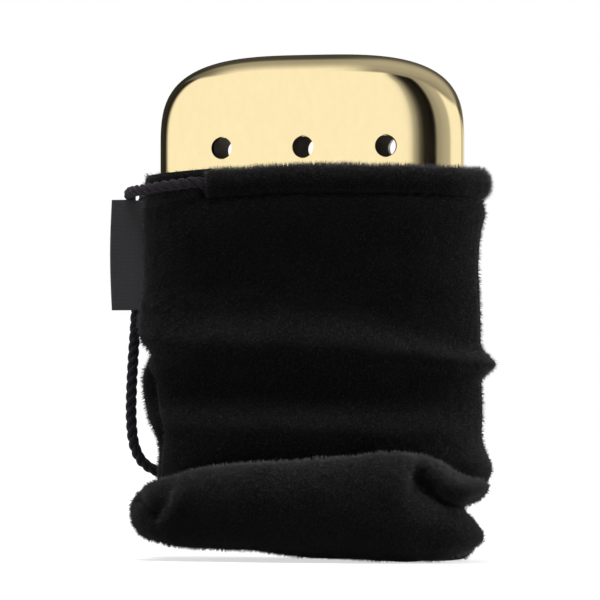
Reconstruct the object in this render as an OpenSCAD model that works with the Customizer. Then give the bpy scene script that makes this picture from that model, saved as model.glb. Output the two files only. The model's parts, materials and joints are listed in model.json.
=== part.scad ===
// Catalytic hand warmer standing in its drawstring pouch.
// Millimetres, +Z up. The origin is on the surface it stands on, under the middle of the metal case.
// The front, with the folded end of the pouch, faces -Y.

/* [Case] */
// Width of the metal case
case_w = 66; // [60:0.5:72]
// Thickness of the metal case at its middle
case_t = 12.7; // [12:0.1:15]
// Height of the closed case
case_h = 98.6; // [94:0.2:106]
// Height of the lift-off cap
cap_h = 42; // [38:0.5:46]
// Sheet thickness of the cap and of the tank
case_wall = 0.6; // [0.4:0.05:0.8]
// Height over which the top of the case rounds in to its crown
top_round = 19.5; // [14:0.5:21]
// Height over which the foot of the case rounds in
foot_round = 26; // [18:0.5:28]
// Height over which both ends round from front to back
edge_round = 6.5; // [5:0.25:9]
// Space under the foot of the case, filled by the slack pouch
foot_gap = 7; // [5:0.5:10]

/* [Vents] */
// Vent holes in each face of the cap
vent_count = 3; // [1:1:3]
// Diameter of a vent hole
vent_d = 4.6; // [3:0.1:6]
// Distance between neighbouring vent holes
vent_pitch = 17.8; // [14:0.1:20]
// Distance of the vent holes below the crown of the cap
vent_drop = 19.6; // [17:0.1:21]

/* [Tank top] */
// Height of the stepped band that the cap slides over
band_h = 7; // [5:0.25:9]
// Clearance between the cap and that band
cap_fit = 0.1; // [0.05:0.01:0.2]
// Gap left between the rim of the cap and the shoulder of the tank
cap_gap = 0.1; // [0.05:0.05:0.4]
// Thickness of the deck that closes the tank
deck_t = 0.6; // [0.4:0.05:1]
// Width of the filler neck
neck_w = 32; // [26:0.5:36]
// Depth of the filler neck from front to back
neck_t = 9; // [8:0.1:9.2]
// Height of the filler neck above the deck
neck_h = 6; // [5:0.25:7]
// Sheet thickness of the filler neck
neck_wall = 0.6; // [0.4:0.05:0.8]

/* [Burner] */
// Clearance between the burner skirt and the filler neck
skirt_fit = 0.08; // [0.05:0.01:0.15]
// Sheet thickness of the burner
burner_wall = 0.5; // [0.4:0.05:0.6]
// Height of the burner head above its skirt
head_h = 5.6; // [5:0.1:6]
// Step of the burner head in from its skirt
head_inset = 0.8; // [0.6:0.05:1.2]
// Thickness of the gauze under the catalyst
gauze_t = 0.4; // [0.3:0.05:0.6]
// Diameter of a hole in the gauze
gauze_hole_d = 1.2; // [0.8:0.1:1.4]
// Windows along each long side of the burner head
window_count = 5; // [3:1:6]
// Width of a window in the burner head
window_w = 3.4; // [2:0.1:4]
// Slots across the top of the burner head
slot_count = 6; // [3:1:7]
// Width of a slot across the top of the burner head
slot_w = 2.4; // [1.5:0.1:3]

/* [Pouch] */
// Thickness of the pile fabric
fabric_t = 1.3; // [1:0.05:1.4]
// Clearance between the case and the fabric around it
pouch_fit = 0.35; // [0.3:0.01:0.5]
// How far the pouch stands out past each side of the case
side_slack = 3.5; // [3:0.1:4.5]
// Height of the pouch mouth above the surface that it stands on
mouth_z = 82; // [80:0.5:85]
// Height of the hem that carries the drawcord
hem_h = 5.8; // [5.2:0.1:7]
// Thickness of the hem with the drawcord in it
hem_t = 4.2; // [4:0.1:4.6]
// Clearance between the drawcord and its channel in the hem
channel_fit = 0.25; // [0.2:0.01:0.3]
// Drop of the mouth from its middle to its sides
mouth_drop = 1.6; // [0:0.1:3]

/* [Drawcord] */
// Diameter of the drawcord
cord_d = 2.4; // [2:0.1:2.5]
// Distance from the middle of the pouch to where the drawcord leaves the hem
cord_exit = 20; // [16:0.5:24]

/* [Label] */
// How far the side label stands out of its seam
label_w = 7.8; // [5:0.1:9]
// Height of the side label
label_h = 23; // [18:0.1:26]
// Thickness of the folded label
label_t = 0.9; // [0.6:0.05:1.1]
// Height of the label's lower edge
label_z = 52.4; // [48:0.1:54]
// Depth of the label inside the side seam
label_tuck = 1.1; // [0.6:0.1:1.2]

/* [Hidden] */

// Colours
gold = [0.87, 0.71, 0.42];
nickel = [0.75, 0.75, 0.74];
black_pile = [0.05, 0.05, 0.055];
black_cord = [0.08, 0.07, 0.09];
black_tape = [0.13, 0.13, 0.14];
fibre_grey = [0.80, 0.79, 0.75];
cotton_white = [0.93, 0.92, 0.88];

// Resolution of the lofted forms
case_steps = 44;    // points round the case
crown_steps = 8;    // rings in a rounded end of the case
crown_last = 86;    // angle of the last ring before the tip
panel_steps = 24;   // points across a pouch panel
front_rows = 24;    // rings up the front panel
back_rows = 16;     // rings up the back panel
foot_steps = 36;    // points round the slack under the case
mass_fn = 18;       // facets round a soft mass
hem_rows = 16;      // sections along one half of the hem
hem_steps = 12;     // points round the hem
hem_stations = 30;  // points of the drawcord inside the hem
cord_steps = 8;     // sides of the drawcord
slot_fn = 48;       // facets of the metal openings
hole_fn = 24;       // facets of small holes

// Exponents of the case: across a level section, of the crown and foot outlines, of their depth
across_pow = 3.5;
top_pow = 3.2;
foot_pow = 2;
edge_pow = 2.2;

// Levels
seat_z = foot_gap;                          // foot of the case
top_z = foot_gap + case_h;                  // crown of the cap
shoulder_z = top_z - cap_h;                 // where cap and tank meet
deck_z = shoulder_z + band_h;               // underside of the deck
neck_top_z = deck_z + deck_t + neck_h;      // rim of the filler neck
vent_z = top_z - vent_drop;
band_inset = case_wall + cap_fit;           // outside of the band, in from the outside of the case
seat_gap = 0.3;                             // what rests on cloth stands this far clear of it
skirt_gap = 0.3;                            // burner skirt above the deck
wadding_gap = 0.4;                          // wadding inside the tank wall
head_z = neck_top_z + seat_gap;             // underside of the burner head

// Burner sizes
gauze_seat = 0.8;                           // rim of the skirt that the gauze rests on
lip_w = burner_wall + skirt_fit + neck_wall + gauze_seat;
skirt_w = neck_w + 2 * (skirt_fit + burner_wall);
skirt_t = neck_t + 2 * (skirt_fit + burner_wall);
head_w = skirt_w - 2 * head_inset;
head_t = skirt_t - 2 * head_inset;
mat_fit = 0.15;                             // catalyst mat inside the head
roof_gap = 0.4;                             // catalyst mat under the roof of the head
window_sill = 1.1;                          // metal left under a window
window_lintel = 1.3;                        // metal left above a window
slot_margin = 1.5;                          // metal left at the ends of a roof slot
gauze_pitch = 2.1;
gauze_rows = 3;
gauze_columns = 13;

// Pouch sizes
pouch_w = case_w / 2 + side_slack;                      // half width outside
pouch_d = case_t / 2 + pouch_fit + fabric_t;            // half depth outside
hem_z = mouth_z - hem_h / 2;                            // middle of the hem at x = 0
panel_top_z = mouth_z - hem_h;                          // top of the panels under the hem
hem_in = 0.4;                                           // hem's middle line, in from the side of the pouch
mouth_w = pouch_w - hem_in;                             // half width of the hem's middle line
hem_fit = 0.5;                                          // clearance between the case and the hem
mouth_d = case_t / 2 + hem_fit + hem_t / 2;             // half depth of the hem's middle line
seam_gap = 0.1;                                         // between a panel's top and the hem on it
edge_h = 1.2;                                           // height of a panel's top strip
channel_r = cord_d / 2 + channel_fit;
exit_angle = acos(pow(cord_exit / mouth_w, across_pow / 2)); // where the hem's middle line is at the exit
flap_start = cord_exit + 3;                             // the panel rises behind the free cord from here
flap_short = 0.3;                                       // and ends this far below the top of the hem
flap_rise = hem_h - flap_short;
pad_top_z = foot_gap - seat_gap;                        // top of the slack under the case
pad_levels = [[-1, 0.9], [1.2, 0.975], [3, 1], [pad_top_z, 1]]; // its rings: [height, share of full size]
lift_start = -4;                                        // left of this x the slack rises off the surface
lift_end = 4.6;                                         // by this much at the left side
slit_fit = 0.03;                                        // seam round the label
cut_size = 200;                                         // block that cuts the pouch flat underneath

// Outline of the hem: clockwise points [outwards, up] as shares of its half thickness and half height
hem_outline = [
    [0, 1], [0.5, 0.93], [0.85, 0.65], [1, 0.2], [1, -0.3], [0.9, -0.8],
    [0.4, -1], [-1, -1], [-1, -0.3], [-1, 0.2], [-0.85, 0.65], [-0.5, 0.93]
];

// Folds of the pouch: [height at the middle, spread, reach, rise towards the right]
front_folds = [[67, 8, 1, 0], [46.9, 3.4, 2.4, -2.1], [30.2, 3.6, 2, 0]];
back_folds = [[62, 8, 0.8, 0], [40, 4, 1.4, 1.5], [24, 4, 1.1, 0]];
right_folds = [[71.6, 3, 0.6, 0], [41.2, 2, 2.7, 0], [20.8, 5, 2.2, 0]];
left_folds = [[51, 5.5, 1.4, 0], [43, 2.2, -1.4, 0], [22.5, 7.5, -3.7, 0]];

// Folded end of the pouch: [middle, radii] of the rounded masses that it runs through
toe_masses = [
    [[-27.4, -14.6, 10.7], [7.7, 7.5, 7.5]],
    [[-8, -16.8, 11.5], [10, 8.4, 9.4]],
    [[12, -16.9, 11.3], [10, 8.5, 10.5]],
    [[26, -15.8, 7], [10, 8, 7.4]],
    [[35.4, -13.5, 5.3], [5, 6, 4.4]]
];
fold_masses = [
    [[23, -13.8, 16.8], [6, 5, 5.8]],
    [[37.8, -12.6, 15], [4.2, 4, 3.6]]
];
under_masses = [
    [[2, -12.5, 1.4], [6, 6.5, 4.4]],
    [[30, -12.5, 1.4], [6, 6.5, 4.4]]
];

// Free drawcord, from the hem down to the knot: the front strand and the back strand
front_route = [
    [-22, -9.5, 78.8], [-25, -9.4, 78.5], [-28.5, -8.7, 78.2], [-32, -7.5, 77.8], [-35.2, -5.7, 77.5],
    [-38, -3.2, 77.3], [-39.9, -0.2, 77], [-40.6, 2.5, 75.9], [-40.7, 4.2, 73], [-40.3, 4.6, 69.5],
    [-39.8, 4.3, 63], [-39.6, 3.9, 56], [-39.7, 3.2, 49], [-40, 2.6, 42], [-40.3, 2.4, 35],
    [-40.4, 2.6, 29], [-40.2, 3.6, 24.2], [-39.3, 5.2, 20.8], [-37.6, 7, 18.8], [-35.5, 8.2, 17.8],
    [-33.3, 8.8, 17.4], [-31.7, 8.9, 17.2]
];
back_route = [
    [-22, 9.6, 79.2], [-25, 9.8, 79.9], [-28.5, 9.8, 80.7], [-32, 9.6, 81.1], [-35.3, 9.1, 80.6],
    [-37.9, 8.5, 79], [-39.4, 8.1, 76.4], [-39.7, 7.9, 73], [-39.2, 7.6, 67.4], [-38.2, 7.2, 59.4],
    [-37, 7, 51.4], [-35.8, 7, 43.4], [-34.6, 7.2, 35.4], [-33.3, 7.7, 28], [-31.8, 8.3, 22.6],
    [-30.8, 8.8, 19.2]
];
cord_side = [0, 0.3, 1];                    // the drawcord's sections start turned to this side
knot_at = [-30.3, 8.8, 17.2];
knot_r = 2.7;
tail_length = 7;
tail_leans = [[6, 12], [-4, -14]];          // cord ends below the knot, leaning [back, sideways]

small = 0.01;

// ---------- functions ----------

// Signed power, for superellipses
function spow(v, e) = sign(v) * pow(abs(v), e);

// Scale of a rounded end, from 1 at its start to 0 at its tip
function end_scale(s, n) = pow(max(0, 1 - pow(min(1, max(0, s)), n)), 1 / n);

// Half width and half depth of the case at height h above its foot, inset by i
function case_half_w(h, i) = (case_w / 2 - i)
    * end_scale((h - case_h + top_round) / (top_round - i), top_pow)
    * end_scale((foot_round - h) / (foot_round - i), foot_pow);
function case_half_t(h, i) = (case_t / 2 - i)
    * end_scale((h - case_h + edge_round) / (edge_round - i), edge_pow)
    * end_scale((edge_round - h) / (edge_round - i), edge_pow);

// Level section of the case at height h above its foot, inset by i and drawn at height z
function case_ring(h, i) = [
    for (k = [0 : case_steps - 1])
        let (a = 360 * k / case_steps)
        [case_half_w(h, i) * spow(cos(a), 2 / across_pow), case_half_t(h, i) * sin(a), seat_z + h]
];

// Heights of the rings of the crown and of the foot, inset by i
function crown_heights(i) = [
    for (k = [1 : crown_steps])
        case_h - top_round + (top_round - i) * sin(crown_last * k / crown_steps)
];
function foot_heights(i) = [
    for (k = [1 : crown_steps])
        foot_round - (foot_round - i) * sin(crown_last * k / crown_steps)
];

// Sum of the folds at height z and share -1 to 1 of the way across
function folds_at(list, z, share) =
    [for (f = list) f[2] * exp(-pow((z - f[0] - f[3] * share) / f[1], 2))] * [for (f = list) 1];

// Point of the pouch at angle a and height z, inset by i
function pouch_point(a, z, i) =
    let (
        share = spow(cos(a), 2 / across_pow),
        w = pouch_w - i + folds_at(cos(a) > 0 ? right_folds : left_folds, z, share),
        d = pouch_d - i + folds_at(sin(a) < 0 ? front_folds : back_folds, z, share)
    )
    [w * share, d * sin(a)];

// How far the pouch drops at x, as a share of the way up to the mouth
function drop_at(x, z) = -mouth_drop * pow(x / pouch_w, 2) * max(0, z - foot_gap) / (panel_top_z - foot_gap);

// Middle line of the hem at angle a
function hem_point(a) =
    let (x = mouth_w * spow(cos(a), 2 / across_pow))
    [x, mouth_d * sin(a), hem_z - mouth_drop * pow(x / pouch_w, 2)];

function unit(v) = v / norm(v);

// Section of the hem at angle a: clockwise profile points [outwards, up] set square to the middle line
function hem_section(a, profile) =
    let (
        here = hem_point(a),
        along = unit(hem_point(a + 1) - hem_point(a - 1)),
        out = unit([along[1], -along[0], 0]),
        up = cross(out, along)
    )
    [for (p = profile) here + out * p[0] + up * p[1]];

// Height by which the slack under the case is lifted at x, left of its flat rest
function lift_at(x) = lift_end * pow(max(0, (lift_start - x) / (pouch_w + lift_start)), 1.2);

// Direction of a path at its point i, and a vector n turned square to it
function heading(path, i) = unit(path[min(i + 1, len(path) - 1)] - path[max(i - 1, 0)]);
function squared(n, t) = unit(n - t * (n * t));

// Normals carried along a path without twist, starting from n
function carried(path, n, i = 0) = i == len(path) ? [] :
    let (m = squared(n, heading(path, i)))
    concat([m], carried(path, m, i + 1));

// Rings of a round tube along a path
function tube_rings(path, r) =
    let (normals = carried(path, cord_side))
    [for (i = [0 : len(path) - 1])
        let (
            n = normals[i],
            b = cross(heading(path, i), n)
        )
        [for (k = [0 : cord_steps - 1])
            path[i] + r * (n * cos(360 * k / cord_steps) + b * sin(360 * k / cord_steps))]
    ];

// Triangles between stacked rings of n points, numbered from base
function stack_faces(base, n, rows, flip) = [
    for (j = [0 : rows - 2], k = [0 : n - 1])
        let (
            a = base + j * n + k,
            b = base + j * n + (k + 1) % n,
            c = a + n,
            d = b + n
        )
        each flip ? [[a, b, d], [a, d, c]] : [[a, d, b], [a, c, d]]
];

// Triangles from the last ring, or the first, to a single tip
function fan_faces(base, n, tip, flip) = [
    for (k = [0 : n - 1])
        flip ? [base + k, base + (k + 1) % n, tip] : [base + k, tip, base + (k + 1) % n]
];

// Triangles between two rings of n points each
function ring_faces(outer, inner, n, flip) = [
    for (k = [0 : n - 1])
        let (l = (k + 1) % n)
        each flip
            ? [[outer + k, inner + l, outer + l], [outer + k, inner + k, inner + l]]
            : [[outer + k, outer + l, inner + l], [outer + k, inner + l, inner + k]]
];

function flat_list(lists) = [for (l = lists) each l];

function middle(ring) = [for (p = ring) 1] * ring / len(ring);

function reversed(list) = [for (i = [len(list) - 1 : -1 : 0]) list[i]];

// ---------- generic solids ----------

// Closed cup: outer and inner rings both start at the open rim and end near a tip
module cup(outer, inner, outer_tip, inner_tip, downwards = false) {
    n = len(outer[0]);
    tip_a = n * len(outer);
    start_b = tip_a + 1;
    tip_b = start_b + n * len(inner);
    polyhedron(
        points = concat(flat_list(outer), [outer_tip], flat_list(inner), [inner_tip]),
        faces = concat(
            stack_faces(0, n, len(outer), downwards),
            fan_faces(tip_a - n, n, tip_a, downwards),
            stack_faces(start_b, n, len(inner), !downwards),
            fan_faces(tip_b - n, n, tip_b, !downwards),
            ring_faces(0, start_b, n, downwards)
        ),
        convexity = 6
    );
}

// Solid through rings that turn right-handed about the way they run, closed by a fan at each end
module skin(rings) {
    n = len(rings[0]);
    last = n * (len(rings) - 1);
    count = n * len(rings);
    polyhedron(
        points = concat(flat_list(rings), [middle(rings[0]), middle(rings[len(rings) - 1])]),
        faces = concat(
            stack_faces(0, n, len(rings), false),
            fan_faces(0, n, count, true),
            fan_faces(last, n, count + 1, false)
        ),
        convexity = 6
    );
}

// Open-ended pipe through outer and inner rings
module pipe(outer, inner) {
    n = len(outer[0]);
    rows = len(outer);
    start_b = n * rows;
    polyhedron(
        points = concat(flat_list(outer), flat_list(inner)),
        faces = concat(
            stack_faces(0, n, rows, false),
            stack_faces(start_b, n, rows, true),
            ring_faces(0, start_b, n, false),
            ring_faces(start_b - n, start_b + start_b - n, n, true)
        ),
        convexity = 6
    );
}

// Sheet between an outer and an inner line, stacked upwards
module panel(outer, inner) {
    m = len(outer[0]);
    n = 2 * m;
    rows = len(outer);
    rings = [for (j = [0 : rows - 1]) concat(outer[j], [for (k = [m - 1 : -1 : 0]) inner[j][k]])];
    last = n * (rows - 1);
    polyhedron(
        points = flat_list(rings),
        faces = concat(
            stack_faces(0, n, rows, false),
            [for (k = [0 : m - 2]) each [[k, k + 1, n - 2 - k], [k, n - 2 - k, n - 1 - k]]],
            [for (k = [0 : m - 2]) each [
                [last + k, last + n - 2 - k, last + k + 1],
                [last + k, last + n - 1 - k, last + n - 2 - k]
            ]]
        ),
        convexity = 8
    );
}

// Slot-shaped outline with round ends
module slot_outline(w, t) {
    square([w - t, t], center = true);
    for (side = [-1, 1])
        translate([side * (w - t) / 2, 0])
            circle(d = t, $fn = slot_fn);
}

// Slot-shaped tube standing on z
module slot_tube(w, t, wall, z, h) {
    translate([0, 0, z])
        linear_extrude(height = h)
            difference() {
                slot_outline(w, t);
                slot_outline(w - 2 * wall, t - 2 * wall);
            }
}

// Slot-shaped plate standing on z
module slot_plate(w, t, z, h) {
    translate([0, 0, z])
        linear_extrude(height = h)
            slot_outline(w, t);
}

// Rounded mass of the folded pouch: [middle, radii]
module mass(m) {
    translate(m[0])
        scale(m[1])
            sphere(r = 1, $fn = mass_fn);
}

// ---------- metal case ----------

module cap() {
    rim = case_h - cap_h + cap_gap;
    straight = [rim, case_h - top_round];
    outer = [for (h = concat(straight, crown_heights(0))) case_ring(h, 0)];
    inner = [for (h = concat(straight, crown_heights(case_wall))) case_ring(h, case_wall)];
    color(gold)
        difference() {
            cup(outer, inner, [0, 0, top_z], [0, 0, top_z - case_wall]);
            vents();
        }
}

module vents() {
    for (k = [0 : vent_count - 1])
        translate([(k - (vent_count - 1) / 2) * vent_pitch, 0, vent_z])
            rotate([90, 0, 0])
                cylinder(d = vent_d, h = 2 * case_t, center = true, $fn = slot_fn);
}

module tank_shell() {
    shoulder = case_h - cap_h;
    inner_wall = band_inset + case_wall;
    outer = concat(
        [for (h = [shoulder + band_h, shoulder]) case_ring(h, band_inset)],
        [for (h = concat([shoulder, foot_round], foot_heights(0))) case_ring(h, 0)]
    );
    inner = concat(
        [for (h = [shoulder + band_h, shoulder - case_wall]) case_ring(h, inner_wall)],
        [for (h = concat([shoulder - case_wall - band_inset, foot_round], foot_heights(case_wall)))
            case_ring(h, case_wall)]
    );
    color(gold)
        cup(outer, inner, [0, 0, seat_z], [0, 0, seat_z + case_wall], downwards = true);
}

module tank_deck() {
    ring = case_ring(case_h - cap_h, band_inset);
    color(nickel)
        difference() {
            translate([0, 0, deck_z])
                linear_extrude(height = deck_t)
                    polygon([for (p = ring) [p[0], p[1]]]);
            slot_plate(neck_w, neck_t, deck_z - deck_t, 3 * deck_t);
        }
}

module filler_neck() {
    color(nickel)
        slot_tube(neck_w, neck_t, neck_wall, deck_z, deck_t + neck_h);
}

module wadding() {
    i = case_wall + wadding_gap;
    top = case_h - cap_h + band_h - wadding_gap;
    rings = concat(
        [for (h = reversed(foot_heights(i))) case_ring(h, i)],
        [case_ring(foot_round, i), case_ring(case_h - cap_h - case_wall - band_inset - wadding_gap, i)],
        [for (h = [case_h - cap_h, top]) case_ring(h, band_inset + i)]
    );
    color(cotton_white)
        skin(rings);
}

// ---------- burner ----------

module burner_skirt() {
    z = deck_z + deck_t + skirt_gap;
    color(nickel) {
        slot_tube(skirt_w, skirt_t, burner_wall, z, head_z - z);
        slot_tube(skirt_w, skirt_t, lip_w, head_z - small, burner_wall + small);
    }
}

module burner_gauze() {
    z = head_z + burner_wall;
    color(nickel)
        difference() {
            slot_plate(head_w - 2 * burner_wall, head_t - 2 * burner_wall, z, gauze_t);
            for (c = [0 : gauze_columns - 1], r = [0 : gauze_rows - 1])
                translate([
                    (c - (gauze_columns - 1) / 2) * gauze_pitch,
                    (r - (gauze_rows - 1) / 2) * gauze_pitch,
                    z - gauze_t
                ])
                    cylinder(d = gauze_hole_d, h = 3 * gauze_t, $fn = hole_fn);
        }
}

module catalyst_mat() {
    z = head_z + burner_wall + gauze_t;
    inside = burner_wall + mat_fit;
    color(fibre_grey)
        slot_plate(head_w - 2 * inside, head_t - 2 * inside, z, head_h - 2 * burner_wall - gauze_t - roof_gap);
}

module burner_cage() {
    z = head_z + burner_wall;
    h = head_h - burner_wall;
    reach = head_w - head_t;
    color(nickel)
        difference() {
            slot_plate(head_w, head_t, z, h);
            slot_plate(head_w - 2 * burner_wall, head_t - 2 * burner_wall, z - h, 2 * h - burner_wall);
            for (k = [0 : window_count - 1])
                translate([
                    (k - (window_count - 1) / 2) * reach / window_count - window_w / 2,
                    -head_t,
                    z + window_sill
                ])
                    cube([window_w, 2 * head_t, h - window_sill - window_lintel]);
            for (k = [0 : slot_count - 1])
                translate([
                    (k - (slot_count - 1) / 2) * (reach + slot_w) / slot_count - slot_w / 2,
                    -head_t / 2 + slot_margin,
                    z
                ])
                    cube([slot_w, head_t - 2 * slot_margin, 2 * h]);
        }
}

// ---------- pouch ----------

// Heights of the rings of a panel
function panel_levels(rows) = [
    for (j = [0 : rows])
        foot_gap + (panel_top_z - edge_h - foot_gap) * j / rows
];

// Line of a panel from the left seam to the right one, at height z and inset by i
function panel_line(from, z, i) = [
    for (k = [0 : panel_steps])
        let (p = pouch_point(from + 180 * k / panel_steps, z, i))
        [p[0], p[1], z + drop_at(p[0], z)]
];

// Same line at the top edge, raised behind the free cord left of the drawcord's exit
function panel_edge(from, i) = [
    for (p = panel_line(from, panel_top_z - seam_gap, i))
        [p[0], p[1], p[2] + (p[0] < -flap_start ? flap_rise : 0)]
];

// Panel of one side of the pouch, with a slit for the label in its left seam
module pouch_panel(from, rows) {
    levels = panel_levels(rows);
    color(black_pile)
        difference() {
            panel(
                concat([for (z = levels) panel_line(from, z, 0)], [panel_edge(from, 0)]),
                concat([for (z = levels) panel_line(from, z, fabric_t)], [panel_edge(from, fabric_t)])
            );
            label_block(slit_fit);
        }
}

module pouch_front() {
    pouch_panel(180, front_rows);
}

module pouch_back() {
    pouch_panel(0, back_rows);
}

// Ring of the slack under the case: [height, share of full size], lifted at the left
function pad_ring(level) = [
    for (k = [0 : foot_steps - 1])
        let (p = pouch_point(360 * k / foot_steps, foot_gap, 0) * level[1])
        [p[0], p[1], level[0] + lift_at(p[0]) * (pad_top_z - level[0]) / pad_top_z]
];

module pouch_toe() {
    color(black_pile)
        difference() {
            union() {
                skin([for (level = pad_levels) pad_ring(level)]);
                for (k = [0 : len(toe_masses) - 2])
                    hull() {
                        mass(toe_masses[k]);
                        mass(toe_masses[k + 1]);
                    }
                for (pair = [fold_masses, under_masses])
                    hull() {
                        mass(pair[0]);
                        mass(pair[1]);
                    }
            }
            translate([0, 0, -cut_size / 2])
                cube(cut_size, center = true);
        }
}

// Part of the hem between two angles, with the channel for the drawcord through it
module hem(from, to, count) {
    angles = [for (k = [0 : count]) from + (to - from) * k / count];
    outline = [for (p = hem_outline) [p[0] * hem_t / 2, p[1] * hem_h / 2]];
    channel = [for (k = [0 : hem_steps - 1])
        let (a = 90 - 360 * k / hem_steps)
        [channel_r * cos(a), channel_r * sin(a)]
    ];
    color(black_pile)
        pipe([for (a = angles) hem_section(a, outline)], [for (a = angles) hem_section(a, channel)]);
}

module hem_front() {
    hem(180 + exit_angle, 360, hem_rows);
}

module hem_back() {
    hem(360, 540 - exit_angle, hem_rows);
}

// ---------- drawcord ----------

// Points of the drawcord inside the hem
function in_hem() = [
    for (k = [0 : hem_stations])
        hem_point(180 + exit_angle + 2 * (180 - exit_angle) * k / hem_stations)
];

// Rings of the whole drawcord, and the part of it from one ring to another
cord_rings = tube_rings(concat(reversed(front_route), in_hem(), back_route), cord_d / 2);

module cord_part(from, to) {
    color(black_cord)
        skin([for (k = [from : to]) cord_rings[k]]);
}

module drawcord_front() {
    cord_part(0, len(front_route));
}

module drawcord_in_hem() {
    cord_part(len(front_route), len(front_route) + hem_stations);
}

module drawcord_back() {
    cord_part(len(front_route) + hem_stations, len(cord_rings) - 1);
}

module drawcord_knot() {
    color(black_cord) {
        mass([knot_at, [knot_r, knot_r, knot_r]]);
        for (lean = tail_leans)
            translate(knot_at)
                rotate([180 + lean[0], lean[1], 0])
                    cylinder(d = cord_d, h = knot_r + tail_length, $fn = cord_steps);
    }
}

// ---------- label ----------

module label_block(grow) {
    edge = pouch_point(180, label_z + label_h / 2, 0)[0];
    translate([edge - label_w + label_t / 2, -label_t / 2 - grow, label_z - grow])
        cube([label_w - label_t / 2 + label_tuck + grow, label_t + 2 * grow, label_h + 2 * grow]);
}

// Tape folded in half, its fold outwards and its two ends in the seam
module label() {
    edge = pouch_point(180, label_z + label_h / 2, 0)[0];
    color(black_tape) {
        label_block(0);
        translate([edge - label_w + label_t / 2, 0, label_z])
            cylinder(d = label_t, h = label_h, $fn = hole_fn);
    }
}

cap();
tank_shell();
tank_deck();
filler_neck();
wadding();
burner_skirt();
burner_gauze();
catalyst_mat();
burner_cage();
pouch_front();
pouch_back();
pouch_toe();
hem_front();
hem_back();
drawcord_in_hem();
drawcord_front();
drawcord_back();
drawcord_knot();
label();
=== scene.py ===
"""Looks of a catalytic hand warmer in its drawstring pouch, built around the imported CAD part."""

import json
import math

import bmesh
import bpy
import numpy as np
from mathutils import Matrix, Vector, geometry, noise

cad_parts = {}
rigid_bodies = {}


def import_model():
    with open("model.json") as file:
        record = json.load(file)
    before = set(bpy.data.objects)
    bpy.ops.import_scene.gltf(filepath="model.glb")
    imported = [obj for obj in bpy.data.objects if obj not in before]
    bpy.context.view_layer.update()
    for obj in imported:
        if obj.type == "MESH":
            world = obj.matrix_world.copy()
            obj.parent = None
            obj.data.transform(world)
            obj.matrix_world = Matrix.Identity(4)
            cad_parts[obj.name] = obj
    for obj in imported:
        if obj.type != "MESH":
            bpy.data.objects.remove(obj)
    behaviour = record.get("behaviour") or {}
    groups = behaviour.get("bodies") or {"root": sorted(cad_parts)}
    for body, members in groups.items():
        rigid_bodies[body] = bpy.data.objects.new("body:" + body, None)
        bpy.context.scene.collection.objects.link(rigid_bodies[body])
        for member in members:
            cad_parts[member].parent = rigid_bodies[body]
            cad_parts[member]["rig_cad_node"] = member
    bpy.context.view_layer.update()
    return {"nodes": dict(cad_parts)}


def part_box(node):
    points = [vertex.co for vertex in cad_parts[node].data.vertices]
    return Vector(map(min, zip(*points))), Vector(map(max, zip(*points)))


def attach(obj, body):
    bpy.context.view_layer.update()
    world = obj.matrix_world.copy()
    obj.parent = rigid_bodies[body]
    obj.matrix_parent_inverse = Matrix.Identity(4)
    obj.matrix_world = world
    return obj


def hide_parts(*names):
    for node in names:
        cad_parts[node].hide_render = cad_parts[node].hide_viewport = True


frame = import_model()
NODES = frame["nodes"]
MM = 0.001

# ---------- sizes in millimetres, as in the part's source ----------

CASE_W, CASE_T, CASE_H = 66.0, 12.7, 98.6
CAP_H, WALL = 42.0, 0.6
TOP_ROUND, FOOT_ROUND, EDGE_ROUND, FOOT_GAP = 19.5, 26.0, 6.5, 7.0
ACROSS, TOP_POW, FOOT_POW, EDGE_POW = 3.5, 3.2, 2.0, 2.2
VENT_D, VENT_PITCH, VENT_DROP, VENTS = 4.6, 17.8, 19.6, 3
BAND_H, BAND_IN, CAP_GAP = 7.0, 0.7, 0.1
FABRIC_T, SIDE_SLACK, POUCH_FIT = 1.3, 3.5, 0.35
MOUTH_Z, HEM_H, HEM_T, MOUTH_DROP = 82.0, 5.8, 4.2, 1.6
CORD_D, CORD_EXIT = 2.4, 20.0
LABEL_W, LABEL_H, LABEL_T, LABEL_Z, LABEL_TUCK, TAPE_T = 7.8, 23.0, 0.9, 52.4, 1.1, 0.36

POUCH_W = CASE_W / 2 + SIDE_SLACK
POUCH_D = CASE_T / 2 + POUCH_FIT + FABRIC_T
HEM_Z = MOUTH_Z - HEM_H / 2
PANEL_TOP = MOUTH_Z - HEM_H
MOUTH_W = POUCH_W - 0.4
MOUTH_D = CASE_T / 2 + 0.5 + HEM_T / 2
EXIT_ANGLE = math.degrees(math.acos((CORD_EXIT / MOUTH_W) ** (ACROSS / 2)))
FLAP_RISE = HEM_H + 0.3

# Folds of the pouch: height, width and how far each stands out at the side edges; the back's lean to one side too
RIGHT_FOLDS = [(73, 3, 0.9), (61, 6, -0.5), (41.4, 2.1, 3.2), (32, 5, 0.4), (19.3, 4, 2.5), (10.2, 3.4, -4.6)]
LEFT_FOLDS = [(51, 5.5, 1.4), (43.8, 2.6, -1.9), (26.3, 2.6, -0.4), (22.5, 7.5, -3.7), (16.5, 2.6, -1.2)]
BACK_FOLDS = [(62, 8, 0.8, 0), (40, 4, 1.4, 1.5), (24, 4, 1.1, 0)]

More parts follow.
